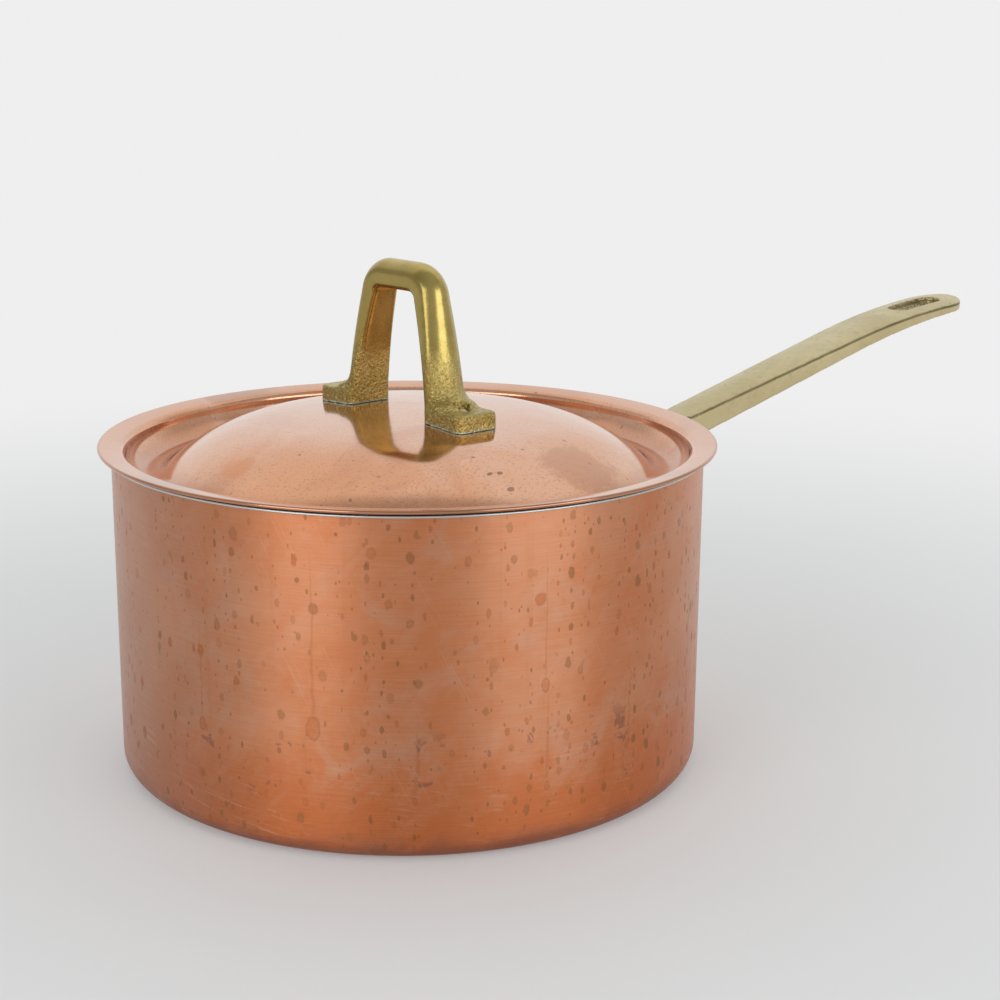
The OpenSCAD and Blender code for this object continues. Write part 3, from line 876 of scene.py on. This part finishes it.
RIVET_SHARP_ANGLE = math.radians(40)
for node in ["handle_rivet_%d" % i for i in (1, 2, 3)] + ["lid_rivet_1", "lid_rivet_2"]:
    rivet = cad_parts[node]
    dress(rivet, "brass_rivet")
    rivet.data.shade_smooth()
    rivet.data.set_sharp_from_angle(angle=RIVET_SHARP_ANGLE)


# ---------------------------------------------------------------- stage
def toward(azimuth, elevation):
    """Unit vector from the pan in that direction."""
    return Vector(
        (
            math.cos(azimuth) * math.cos(elevation),
            math.sin(azimuth) * math.cos(elevation),
            math.sin(elevation),
        )
    )


BACKDROP = (0.86, 0.86, 0.86)
# The backdrop ends where this is the cosine of the angle to the camera's side
BACKDROP_EDGE = -0.45
ROOM = (0.54, 0.54, 0.55)
FLOOR_GLOW = 0.24
CEILING = (0.88, 0.88, 0.88)
OVERHEAD = (0.46, 0.46, 0.46)
FLOOR_R = 12.0
FLOOR_DROP = 0.2 * MM
# Distances over which the floor turns into the backdrop
FLOOR_FADE = (0.12, 0.65)
# Heights of the view, and cosines to the camera's side, over which the sky's parts blend
CEILING_FADE = (0.35, 0.75)
BACKDROP_FADE = 0.35
OVERHEAD_FADE = (-0.25, -0.08)
floor_mesh = bpy.data.meshes.new("floor")
bm = bmesh.new()
bmesh.ops.create_circle(bm, cap_ends=True, segments=96, radius=FLOOR_R)
bm.to_mesh(floor_mesh)
bm.free()
floor = link("floor", floor_mesh)
floor.location.z = -FLOOR_DROP

s = Surface("floor", Roughness=0.75)
mottle = s.noise(s.place, 9, 4.0, 0.6)
grain = s.noise(s.place, 260, 3.0, 0.6)
pale = s.mix(mottle, FLOOR_PALE, FLOOR_GREY)
s.put(s.shader.inputs["Base Color"], pale)
s.put(s.shader.inputs["Normal"], s.bump(grain, 0.2 * MM, 0.3))
away = s.length(s.x, s.y)
glow = s.add("ShaderNodeEmission", {"Color": (*BACKDROP, 1.0), "Strength": 1.0})
share = s.spread(s.step(away, *FLOOR_FADE), FLOOR_GLOW, 1.0)
blend = s.add("ShaderNodeMixShader", {0: share, 1: s.shader.outputs[0], 2: glow.outputs[0]})
output = next(n for n in s.tree.nodes if n.type == "OUTPUT_MATERIAL")
s.tree.links.new(blend.outputs[0], output.inputs["Surface"])
floor_mesh.materials.append(s.material)

world = bpy.data.worlds.new("studio")
world.use_nodes = True
bpy.context.scene.world = world
s = Nodes(world.node_tree)
sky = s.tree.nodes["Background"]
way = s.add("ShaderNodeTexCoord").outputs["Generated"]
facing = s.along(way, toward(VIEW_AZIMUTH, 0))
behind = s.step(facing, BACKDROP_EDGE, BACKDROP_EDGE - BACKDROP_FADE)
ceiling = s.step(s.split(way)[2], *CEILING_FADE)
walls = s.mix(behind, ROOM, BACKDROP)
overhead = s.mix(s.step(facing, *OVERHEAD_FADE), CEILING, OVERHEAD)
s.put(sky.inputs["Color"], s.mix(ceiling, walls, overhead))


BOX_ELEVATION = math.radians(16)
BOX_DISTANCE = 1.3
BOX_HEIGHT = 0.9


def softbox(name, azimuth, width, power):
    """A soft light that looks at the pan, the azimuth in degrees from the camera's."""
    light = bpy.data.lights.new(name, "AREA")
    light.shape = "RECTANGLE"
    light.size, light.size_y = width, BOX_HEIGHT
    light.energy = power
    obj = bpy.data.objects.new(name, light)
    bpy.context.scene.collection.objects.link(obj)
    way = toward(VIEW_AZIMUTH + math.radians(azimuth), BOX_ELEVATION)
    obj.location = AXIS + way * BOX_DISTANCE
    obj.rotation_mode = "QUATERNION"
    obj.rotation_quaternion = way.to_track_quat("Z", "Y")


softbox("softbox_left", azimuth=-37, width=0.75, power=4.1)
softbox("softbox_right", azimuth=46, width=0.95, power=4.3)

# ---------------------------------------------------------------- camera
CAMERA_DISTANCE = 572.6 * MM
CAMERA_ELEVATION = 0.2953
LOOK_DOWN = math.radians(14.06)
LOOK_RIGHT = math.radians(2.92)
ROLL = 0.0079
LENS = 65.51
SENSOR = 36

back = toward(VIEW_AZIMUTH, CAMERA_ELEVATION)
heading = VIEW_AZIMUTH + math.pi - LOOK_RIGHT
forward = toward(heading, -LOOK_DOWN)
across = forward.cross(Vector((0, 0, 1))).normalized()
upright = across.cross(forward)
right = math.cos(ROLL) * across + math.sin(ROLL) * upright
up = math.cos(ROLL) * upright - math.sin(ROLL) * across
camera_data = bpy.data.cameras.new("camera")
camera_data.lens = LENS
camera_data.sensor_width = SENSOR
camera = bpy.data.objects.new("camera", camera_data)
bpy.context.scene.collection.objects.link(camera)
spot = AXIS + back * CAMERA_DISTANCE
camera.matrix_world = Matrix(
    [[right[i], up[i], -forward[i], spot[i]] for i in range(3)] + [[0, 0, 0, 1]]
)
camera_data.clip_start = 0.01
camera_data.clip_end = 50
bpy.context.scene.camera = camera
bpy.context.scene.view_settings.view_transform = "Standard"
